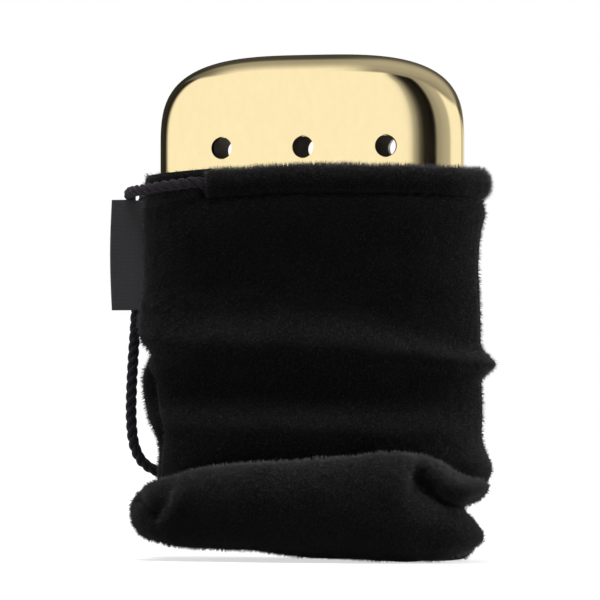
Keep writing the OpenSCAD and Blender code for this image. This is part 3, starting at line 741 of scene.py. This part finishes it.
def pad_form():
    """Slack of the pouch under the case."""
    a = np.arange(0, 360, 3.0)
    rings = []
    # (height, share of the pouch's section), from the floor up
    levels = [(0.2, 0.5), (0.0, 0.86), (0.6, 0.955), (1.9, 1.0), (4.5, 1.005), (6.2, 0.99), (6.7, 0.95),
              (6.65, 0.5)]
    for z, scale in levels:
        p = pouch_point(a, np.full_like(a, FOOT_GAP), 0) * scale
        lift = 5.2 * np.maximum(0, (17 - p[:, 0]) / 53.5) ** 1.1
        rings.append(np.stack([p[:, 0], p[:, 1], z + lift * (6.7 - z) / 6.7], axis=1))
    pts = np.array(rings)
    n = len(a)
    verts = np.vstack([pts.reshape(-1, 3), [[0, 0, 0.2]], [[0, 0, 6.65]]])
    faces = grid_faces(len(levels), n, wrap=True).tolist()
    top = (len(levels) - 1) * n
    faces += [((i + 1) % n, i, len(verts) - 2) for i in range(n)]
    faces += [(top + i, top + (i + 1) % n, len(verts) - 1) for i in range(n)]
    return verts, faces


def apply_modifier(obj, kind, **settings):
    modifier = obj.modifiers.new(kind, kind)
    for key, value in settings.items():
        setattr(modifier, key, value)
    depsgraph = bpy.context.evaluated_depsgraph_get()
    mesh = bpy.data.meshes.new_from_object(obj.evaluated_get(depsgraph))
    obj.modifiers.clear()
    old = obj.data
    obj.data = mesh
    bpy.data.meshes.remove(old)


def build_toe():
    """Folded end of the pouch: two lobes and the slack under the case, pressed against the front panel."""
    obj = put("pouch_folded_end", *merged((pillow(ROLL_OUTLINE, ROLL_SPINE, ROLL_DEPTH),
                                           pillow(LOBE_OUTLINE, LOBE_SPINE, LOBE_DEPTH), pad_form())), "pouch")
    weld(obj.data, 1e-5)
    apply_modifier(obj, "REMESH", mode="VOXEL", voxel_size=0.55 * MM)
    apply_modifier(obj, "SMOOTH", factor=0.5, iterations=6)
    co, normal = get_points(obj.data)
    front = smoothstep(-co[:, 1], 9.0, 13.0)
    move = np.zeros(len(co))
    for line, width, depth in CREASES:
        line = flat_spline(line, 0.4)
        d = np.min(np.linalg.norm(co[:, None, [0, 2]] - line[None], axis=2), axis=1)
        move += depth * bell(d / width) * front
    move += ripples(co, END_RIPPLES)
    co = co + normal * move[:, None]
    co[:, 2] = np.maximum(co[:, 2], 0.0)
    share = np.clip(co[:, 0] / POUCH_W, -1, 1)
    wall = -(POUCH_D + front_relief(share, co[:, 2]) + 0.1) * np.sqrt(1 - np.abs(share) ** ACROSS)
    high = (co[:, 2] > FOOT_GAP - 0.1) & (np.abs(co[:, 0]) < POUCH_W) & (co[:, 1] < 0)
    co[high, 1] = np.minimum(co[high, 1], wall[high])
    set_points(obj.data, co)
    return obj


def build_label():
    """Woven tape folded in half, its ends in the side seam."""
    edge = -POUCH_W - folds_at(LEFT_FOLDS, LABEL_Z + LABEL_H / 2)
    x0, x1 = edge - LABEL_W, edge + LABEL_TUCK
    half = LABEL_T / 2
    u = np.linspace(0, 1, 46)
    bend = -math.pi / 2 - math.pi * np.arange(1, 9) / 9
    outer = np.vstack([
        np.column_stack([x1 + (x0 + half - x1) * u, -half + 0 * u]),
        np.column_stack([x0 + half + half * np.cos(bend), half * np.sin(bend)]),
        np.column_stack([x0 + half + (x1 - x0 - half) * u, half + 0 * u]),
    ])
    inner = np.column_stack([np.maximum(outer[:, 0], x0 + TAPE_T),
                             np.clip(outer[:, 1], -half + TAPE_T, half - TAPE_T)])
    rows, n = 110, len(outer)
    share = np.linspace(0, 1, rows)[:, None]
    sheets = []
    for line in (outer, inner):
        x, y = line[None, :, 0], line[None, :, 1]
        out = smoothstep(x1 - x, 1.0, 6.0)
        sheets.append(np.stack([
            x + (0.36 - 0.46 * np.sin(math.pi * share)) * out,
            y + out * 0.28 * np.sin(2.6 * share + 0.4),
            LABEL_Z + LABEL_H * share + (0.25 * share + (share - 0.55) * 0.3 * (1 - share)) * out,
        ], axis=-1).reshape(-1, 3))
    return put("side_label", np.vstack(sheets), shell_faces(rows, n)[:, ::-1], "pouch")


# ---------- pile ----------


NAP = (6.0, 0.95, 0.15)
HEM_NAP = (9.0, 1.15, 0.14)


def pile(name, sources, nap, seed, keep, lean=-0.35, lit=0.0):
    """Short fibres on the outside of the fabric, each a closed spike; above the seam they lean up.

    nap is how many there are to a square millimetre, their length and their width. They take the
    light as the cloth under them does, turned up by lit where the nap lies downwards.
    """
    per_mm2, length, width = nap
    rng = np.random.default_rng(seed)
    roots, ups = [], []
    for obj in sources:
        obj.data.calc_loop_triangles()
        co, no = get_points(obj.data)
        tri = np.empty(len(obj.data.loop_triangles) * 3, dtype=np.int32)
        obj.data.loop_triangles.foreach_get("vertices", tri)
        tri = tri.reshape(-1, 3)
        p0, p1, p2 = co[tri[:, 0]], co[tri[:, 1]], co[tri[:, 2]]
        area = np.linalg.norm(np.cross(p1 - p0, p2 - p0), axis=1) / 2
        count = int(area.sum() * per_mm2)
        pick = rng.choice(len(tri), size=count, p=area / area.sum())
        r1, r2 = np.sqrt(rng.random(count))[:, None], rng.random(count)[:, None]
        w0, w1, w2 = 1 - r1, r1 * (1 - r2), r1 * r2
        at = p0[pick] * w0 + p1[pick] * w1 + p2[pick] * w2
        up = no[tri[pick, 0]] * w0 + no[tri[pick, 1]] * w1 + no[tri[pick, 2]] * w2
        ok = keep(at, up)
        roots.append(at[ok])
        ups.append(up[ok])
    at, up = np.vstack(roots), np.vstack(ups)
    n = len(at)
    way = up + rng.normal(0, 0.42, (n, 3))
    way[:, 2] += np.where(at[:, 2] > PANEL_TOP + 2, 0.35, lean)
    way = unit(way)
    long = length * rng.uniform(0.55, 1.15, n)[:, None]
    side = unit(np.cross(way, rng.normal(0, 1, (n, 3))))
    other = np.cross(way, side)
    root = at - up * 0.12
    tip = at + way * long
    tip[:, 2] = np.maximum(tip[:, 2], 0.02)
    root[:, 2] = np.maximum(root[:, 2], 0.02)
    ring = [root + width / 2 * (math.cos(k) * side + math.sin(k) * other) for k in (0, 2.094, 4.189)]
    verts = np.stack(ring + [tip], axis=1).reshape(-1, 3)
    base = (np.arange(n) * 4)[:, None]
    faces = np.concatenate([base + np.array(f) for f in ((0, 1, 3), (1, 2, 3), (2, 0, 3), (2, 1, 0))])
    obj = put(name, verts, faces, "pouch")
    up = unit(unit(up) + [0, 0, lit])
    obj.data.normals_split_custom_set_from_vertices(np.repeat(up, 4, axis=0))
    return obj


# ---------- materials ----------


class Net:
    """Short way to write a node tree."""

    def __init__(self, tree):
        self.tree = tree
        tree.nodes.clear()
        self.coords = self.add("ShaderNodeTexCoord").outputs

    def add(self, kind, inputs=None, **settings):
        """New node; its inputs are given by name or number, as a socket to link or a value."""
        node = self.tree.nodes.new(kind)
        for key, value in settings.items():
            setattr(node, key, value)
        for key, value in (inputs or {}).items():
            if isinstance(value, bpy.types.NodeSocket):
                self.tree.links.new(value, node.inputs[key])
            else:
                node.inputs[key].default_value = value
        return node

    def maths(self, operation, *values):
        return self.add("ShaderNodeMath", dict(enumerate(values)), operation=operation).outputs[0]

    def ramp(self, value, stops, interpolation="LINEAR"):
        node = self.add("ShaderNodeValToRGB", {"Fac": value})
        node.color_ramp.interpolation = interpolation
        elements = node.color_ramp.elements
        elements[0].position, elements[0].color = stops[0]
        elements[1].position, elements[1].color = stops[-1]
        for position, color in stops[1:-1]:
            elements.new(position).color = color
        return node.outputs["Color"]


class Look(Net):
    """A material round one principled shader; its plain values are given by name."""

    def __init__(self, name, **values):
        self.material = bpy.data.materials.new(name)
        self.material.use_nodes = True
        super().__init__(self.material.node_tree)
        self.shader = self.add("ShaderNodeBsdfPrincipled", {k.replace("_", " "): v for k, v in values.items()})
        self.output = self.add("ShaderNodeOutputMaterial", {"Surface": self.shader.outputs[0]})

    def drive(self, name, value, stops=None):
        """Links a value to the shader, through a colour ramp if it has stops."""
        self.tree.links.new(self.ramp(value, stops) if stops else value, self.shader.inputs[name])

    def noise(self, scale, detail, roughness, stretch=None):
        at = self.coords["Object"]
        if stretch:
            at = self.add("ShaderNodeMapping", {"Vector": at, "Scale": stretch}).outputs[0]
        return self.add("ShaderNodeTexNoise", {
            "Vector": at, "Scale": scale, "Detail": detail, "Roughness": roughness}).outputs["Fac"]

    def bump(self, value, strength, distance):
        node = self.add("ShaderNodeBump", {"Height": value, "Strength": strength, "Distance": distance})
        self.drive("Normal", node.outputs["Normal"])


def grey(v):
    return (v, v, v, 1)


VELVET = {"Roughness": 0.95, "Sheen_Weight": 0.06, "Sheen_Roughness": 0.4, "Sheen_Tint": (0.9, 0.9, 1.0, 1)}


def grainy_look(name, grain, color, rough=None, bump=None, **values):
    """A material whose colour, roughness and bump follow one noise."""
    look = Look(name, **values)
    value = look.noise(*grain)
    look.drive("Base Color", value, color)
    if rough:
        look.drive("Roughness", value, rough)
    if bump:
        look.bump(value, *bump)
    return look


def gold_look():
    look = grainy_look("polished_gold", (500, 4, 0.6, (1, 1, 0.5)),
                       [(0.25, (0.975, 0.800, 0.450, 1)), (0.75, (1.0, 0.835, 0.485, 1))],
                       bump=(0.01, 0.00001), Metallic=1.0)
    look.drive("Roughness", look.noise(60, 3, 0.6), [(0.35, grey(0.05)), (0.75, grey(0.09))])
    return look.material


def fabric_look(name, lift):
    """Black velour; lift is how much lighter its colour is made, which on the folded end is painted light and on the
    thread is the thread's own lighter colour.
    """
    look = Look(name, **VELVET, Specular_IOR_Level=0.05)
    nap = look.noise(2300, 4, 0.75)
    tint = look.ramp(nap, [(0.32, grey(0.0029 * lift)), (0.70, grey(0.0115 * lift))])
    soft = look.ramp(look.noise(110, 3, 0.55), [(0.3, grey(0.72)), (0.7, grey(1.0))])
    mix = look.add("ShaderNodeMix", data_type="RGBA", blend_type="MULTIPLY")
    mix.inputs["Factor"].default_value = 1.0
    look.tree.links.new(tint, mix.inputs["A"])
    look.tree.links.new(soft, mix.inputs["B"])
    look.drive("Base Color", mix.outputs["Result"])
    look.bump(nap, 0.6, 0.0003)
    return look.material


def pile_look(name, lift):
    return grainy_look(name, (1500, 2, 0.5), [(0.3, grey(0.0094 * lift)), (0.7, grey(0.0280 * lift))],
                       **VELVET, Specular_IOR_Level=0.03).material


def tape_look():
    """Woven tape: fine ribs across and along."""
    look = Look("woven_tape", Roughness=0.7, Sheen_Weight=0.06, Specular_IOR_Level=0.25)
    weft, warp = (
        look.add("ShaderNodeTexWave", {"Vector": look.coords["Object"], "Scale": scale, "Distortion": 0.8,
                                       "Detail Scale": detail}, bands_direction=way).outputs["Fac"]
        for way, scale, detail in (("Z", 1100, 3), ("X", 800, 1)))
    both = look.maths("MULTIPLY", weft, warp)
    look.drive("Base Color", both, [(0.0, (0.021, 0.021, 0.023, 1)), (1.0, (0.050, 0.050, 0.054, 1))])
    look.bump(both, 0.5, 0.0001)
    return look.material


def cotton_look(name, low, high, scale):
    return grainy_look(name, (scale, 6, 0.75), [(0.3, low), (0.7, high)], bump=(0.8, 0.0004),
                       Roughness=0.95, Sheen_Weight=0.3, Specular_IOR_Level=0.2).material


def dress(obj, material):
    obj.data.materials.clear()
    obj.data.materials.append(material)


GOLD = gold_look()
# Inside of the cap: unpolished plating, dulled by heat
CAP_INSIDE = grainy_look("cap_inside", (220, 4, 0.65), [(0.3, (0.30, 0.25, 0.22, 1)), (0.7, (0.62, 0.54, 0.48, 1))],
                         [(0.3, grey(0.36)), (0.7, grey(0.55))], (0.1, 0.00005), Metallic=1.0).material
NICKEL = grainy_look("satin_nickel", (700, 5, 0.7, (0.2, 1, 1)),
                     [(0.3, (0.56, 0.55, 0.53, 1)), (0.7, (0.68, 0.67, 0.65, 1))],
                     [(0.3, grey(0.22)), (0.7, grey(0.4))], (0.06, 0.00005), Metallic=1.0).material
FABRIC, FIBRE = fabric_look("black_velour", 1.0), pile_look("velour_fibre", 1.0)
# the folded end is turned up; its velour is a lighter copy, painted light standing in for the light that falls on it,
# while its fibres keep the plain colour
END_FABRIC_PAINTED_LIGHTER, END_FIBRE = fabric_look("black_velour_painted_lighter", 1.15), pile_look("velour_fibre_turned_up", 1.0)
CORD = grainy_look("twisted_cord", (1800, 4, 0.7, (1, 1, 0.35)),
                   [(0.3, (0.005, 0.0042, 0.0056, 1)), (0.75, (0.026, 0.022, 0.028, 1))], bump=(0.6, 0.0002),
                   Roughness=0.8, Sheen_Weight=0.08, Sheen_Roughness=0.35, Sheen_Tint=(0.85, 0.75, 0.9, 1),
                   Specular_IOR_Level=0.2).material
TAPE = tape_look()
THREAD = fabric_look("sewing_thread", 1.3)
COTTON = cotton_look("cotton_wadding", (0.70, 0.68, 0.62, 1), (0.86, 0.85, 0.81, 1), 700)
MAT = cotton_look("catalyst_fibre", (0.36, 0.34, 0.31, 1), (0.62, 0.6, 0.56, 1), 1400)

# ---------- pieces ----------

# Drawcord first
cords, front_path, back_path = build_cords()
knot = build_knot()
for piece in cords + [knot]:
    dress(piece, CORD)
front_cord, hem_cord, back_cord = cords
for piece, node in ((front_cord, "drawcord_front"), (hem_cord, "drawcord_in_hem"), (back_cord, "drawcord_back"),
                    (knot, "drawcord_knot")):
    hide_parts(node)

# Metal case
cap = build_cap()
tank = build_tank()
dress(cap, GOLD)
cap.data.materials.append(CAP_INSIDE)
middle = Vector((0, 0, FOOT_GAP + CASE_H - CAP_H / 2)) * MM
for face in cap.data.polygons:
    out = face.center - middle
    out = Vector((out.x / CASE_W ** 2, out.y / CASE_T ** 2, out.z / CASE_H ** 2 * 0.5))
    face.material_index = int(out.dot(face.normal) < 0)
dress(tank, GOLD)
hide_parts("cap")
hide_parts("tank_shell")
for name in ("tank_deck", "filler_neck", "burner_skirt", "burner_gauze", "burner_cage"):
    dress(NODES[name], NICKEL)


def lumpy(name, node, material, body, amount, scale):
    """Soft filling: the node's own form, fine meshed and lumpy."""
    obj = bpy.data.objects.new(name, NODES[node].data.copy())
    bpy.context.scene.collection.objects.link(obj)
    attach(obj, body)
    low, high = (np.array(c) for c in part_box(node))
    apply_modifier(obj, "REMESH", mode="VOXEL", voxel_size=float(scale) * MM)
    apply_modifier(obj, "SMOOTH", factor=0.5, iterations=4)
    co, no = get_points(obj.data)
    move = amount * (ripples(co, FLUFF_RIPPLES) - 0.9)
    set_points(obj.data, np.clip(co + no * move[:, None], low / MM, high / MM))
    dress(obj, material)
    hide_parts(node)


lumpy("cotton_filling", "wadding", COTTON, "warmer", 0.35, 0.8)
lumpy("catalyst_pad", "catalyst_mat", MAT, "burner", 0.12, 0.3)

# Pouch
front_panel = panel("pouch_front_cloth", 180, 360, 170, 190)
back_panel = panel("pouch_back_cloth", 0, 180, 170, 190)
front_hem = hem("front_hem_cloth", 180 + EXIT_ANGLE, 360, True)
back_hem = hem("back_hem_cloth", 360, 540 - EXIT_ANGLE, False)
toe = build_toe()
label = build_label()
cloth = [front_panel, back_panel, front_hem, back_hem, toe]
for piece, node in zip(cloth, ("pouch_front", "pouch_back", "hem_front", "hem_back", "pouch_toe")):
    # the folded end wears the copy of the velour painted lighter, standing in for light on it
    dress(piece, END_FABRIC_PAINTED_LIGHTER if piece is toe else FABRIC)
    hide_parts(node)
front_thread = stitches("front_hem_stitches", 181 + EXIT_ANGLE, 357)
back_thread = stitches("back_hem_stitches", 3, 179 - EXIT_ANGLE)
for piece in (front_thread, back_thread):
    dress(piece, THREAD)
dress(label, TAPE)
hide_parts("label")


def outside(at, up):
    """Fibres only where the cloth shows, not inside the pouch."""
    out = at[:, 0] * up[:, 0] / POUCH_W ** 2 + at[:, 1] * up[:, 1] / POUCH_D ** 2
    return (out > -0.002) & (at[:, 2] > 0.4)


def off_channel(at, up):
    """Fibres only on the outside of the hem, not in the channel of the cord."""
    turn = np.degrees(np.arctan2(at[:, 1] / MOUTH_D, spow(at[:, 0] / MOUTH_W, ACROSS / 2)))
    return np.sum((at - hem_point(turn)) * up, axis=1) > 0


def on_folded_end(at, up):
    """Fibres only where the folded end shows, not between it and the front panel or on the floor."""
    return (at[:, 2] > 0.5) & ((at[:, 1] < -8) | (at[:, 2] < 6.3))


front_pile = pile("front_pile", [front_panel], NAP, 11, outside)
back_pile = pile("back_pile", [back_panel], NAP, 12, outside)
hem_pile = pile("hem_pile", [front_hem, back_hem], HEM_NAP, 13, off_channel, lean=0.0)
for piece in (front_pile, back_pile, hem_pile):
    dress(piece, FIBRE)
toe_pile = pile("folded_end_pile", [toe], NAP, 14, on_folded_end, lit=0.1)
dress(toe_pile, END_FIBRE)

# ---------- floor, light ----------


# Brightness of the studio by direction, in degrees from the front towards the right
STUDIO = [
    (-180, 0.4), (-170, 0.05), (-124, 0.03), (-86, 0.02), (-80, 0.35), (-75, 0.95), (-69, 1.0),
    (1.5, 1.0), (3.8, 0.9), (5.5, 0.48), (8, 0.26), (10, 0.09), (13, 0.015), (23, 0.005), (27, 0.32), (40, 0.44),
    (48, 0.5), (54, 0.95), (60, 1.0), (106, 1.0), (116, 0.6), (125, 0.5), (142, 0.9), (180, 0.9),
]

# Brightness of the ceiling by angle, in degrees from the front over the top to the back
CEILING = [(0, 1.0), (50, 1.0), (62, 0.75), (72, 0.52), (85, 0.38), (100, 0.34), (110, 0.12), (118, 0.06),
           (165, 0.06), (180, 0.3)]
CEILING_RIGHT = [(0, 0.3), (45, 0.3), (62, 0.38), (90, 0.44), (106, 0.4), (116, 0.3), (130, 0.14), (145, 0.08),
                 (180, 0.2)]


# How the screens of the studio stand further round higher up, by share and by radians
SCREEN_LEAN, SCREEN_SLANT = 0.3, math.radians(9)
# How much lower the ceiling starts behind the object and to its right, and the height where it starts
BACK_LOWER, RIGHT_LOWER = 0.5, 0.3
CEILING_START = [(0.0, 0.0), (0.61, 0.0), (0.72, 1.0), (1.0, 1.0)]
# Shares over the picture's width, from its left: the ceiling's dimmer left end, and where its right part takes over
LEFT_END = [(0.0, 0.45), (0.18, 0.45), (0.3, 1.0), (1.0, 1.0)]
RIGHT_START = [(0.0, 0.0), (0.36, 0.0), (0.46, 1.0), (1.0, 1.0)]
# Plain light on everything that isn't metal, from the front to the back
PLAIN = [(0.0, 0.07), (0.45, 0.1), (0.62, 0.45), (1.0, 0.45)]
# Lamps: place, size and power
LAMPS = {
    "key": ((-0.07, -0.17, 0.97), 0.6, 16.0),
    "right_side": ((0.9, 0.0, 0.25), 0.5, 13.0),
    "left_side": ((-0.9, 0.08, 0.25), 0.5, 5.5),
    "back": ((0.1, 0.75, 0.5), 0.5, 3.0),
}


def build_world():
    """White for the camera, a studio of screens and a ceiling for metal, and a plain light for the rest."""
    world = bpy.data.worlds.new("studio")
    bpy.context.scene.world = world
    world.use_nodes = True
    net = Net(world.node_tree)
    x, y, z = net.add("ShaderNodeSeparateXYZ", {0: net.coords["Generated"]}).outputs

    def level(value, stops, first=0.0, whole=1.0):
        return net.ramp(value, [((p - first) / whole, grey(v)) for p, v in stops], "EASE")

    def float_mix(factor, a, b):
        node = net.add("ShaderNodeMix", data_type="FLOAT")
        for name, socket in (("Factor", factor), ("A", a), ("B", b)):
            net.tree.links.new(socket, node.inputs[name])
        return node.outputs[0]

    def background(strength):
        return net.add("ShaderNodeBackground", {"Color": (1, 1, 1, 1), "Strength": strength}).outputs[0]

    minus_y = net.maths("MULTIPLY", y, -1.0)
    azimuth = net.maths("ARCTAN2", x, minus_y)
    lean = net.maths("MULTIPLY_ADD", z, SCREEN_LEAN, 1.0)
    leant = net.maths("MULTIPLY_ADD", z, SCREEN_SLANT, net.maths("MULTIPLY", azimuth, lean))
    screens = level(net.maths("MULTIPLY_ADD", leant, 1 / (2 * math.pi), 0.5), STUDIO, -180, 360)
    lower = net.maths("MULTIPLY", net.maths("MAXIMUM", y, 0.0), BACK_LOWER)
    lower = net.maths("MULTIPLY_ADD", net.maths("MAXIMUM", x, 0.0), RIGHT_LOWER, lower)
    overhead = level(net.maths("ADD", z, lower), CEILING_START)
    over = net.maths("MULTIPLY", net.maths("ARCTAN2", z, minus_y), 1 / math.pi)
    across = net.maths("MULTIPLY_ADD", x, 0.5, 0.5)
    left_part = net.maths("MULTIPLY", level(over, CEILING, 0, 180), level(across, LEFT_END))
    ceiling = float_mix(level(across, RIGHT_START), left_part, level(over, CEILING_RIGHT, 0, 180))
    studio = background(float_mix(overhead, screens, ceiling))
    plain = background(level(net.maths("MULTIPLY_ADD", y, 0.5, 0.5), PLAIN))
    path = net.add("ShaderNodeLightPath").outputs
    seen = net.maths("MAXIMUM", path["Is Camera Ray"], path["Is Transmission Ray"])
    lit = net.add("ShaderNodeMixShader", {0: path["Is Glossy Ray"], 1: plain, 2: studio}).outputs[0]
    out = net.add("ShaderNodeMixShader", {0: seen, 1: lit, 2: background(1.0)}).outputs[0]
    net.add("ShaderNodeOutputWorld", {"Surface": out})


def build_lamps():
    for name, (at, size, energy) in LAMPS.items():
        data = bpy.data.lights.new(name, "AREA")
        data.shape, data.size, data.energy = "DISK", size, energy
        obj = bpy.data.objects.new(name, data)
        obj.location = at
        obj.rotation_euler = (Vector(at) - Vector((0, 0, 0.05))).to_track_quat("Z", "Y").to_euler()
        obj.visible_glossy = False
        bpy.context.scene.collection.objects.link(obj)


FLOOR_REACH = 3000
# What metal mirrors of the floor's glow: the lamps' light comes on top, which a white picture hides
MIRRORED = 0.75
# The glow by distance from the object in metres, up to white where the lamps don't reach
FLOOR_GLOW = [(0.1, grey(0.66)), (0.6, grey(1.0))]


def build_floor():
    r = FLOOR_REACH
    obj = put("floor", [(-r, -r, 0), (r, -r, 0), (r, r, 0), (-r, r, 0)], [(0, 1, 2, 3)], None, smooth=False)
    look = Look("pale_floor", Roughness=0.6, Specular_IOR_Level=0.2, Base_Color=grey(0.3))
    path = look.add("ShaderNodeLightPath").outputs
    clear = look.maths("MAXIMUM", path["Is Camera Ray"], path["Is Transmission Ray"])
    seen = look.maths("MAXIMUM", clear, look.maths("MULTIPLY", path["Is Glossy Ray"], MIRRORED))
    far = look.add("ShaderNodeVectorMath", {0: look.coords["Object"]}, operation="LENGTH").outputs["Value"]
    strength = look.maths("MULTIPLY", seen, look.ramp(far, FLOOR_GLOW))
    glow = look.add("ShaderNodeEmission", {"Strength": strength}).outputs[0]
    both = look.add("ShaderNodeAddShader", {0: look.shader.outputs[0], 1: glow}).outputs[0]
    look.tree.links.new(both, look.output.inputs["Surface"])
    obj.data.materials.append(look.material)


build_lamps()
build_floor()
build_world()
bpy.context.scene.view_settings.view_transform = "Standard"
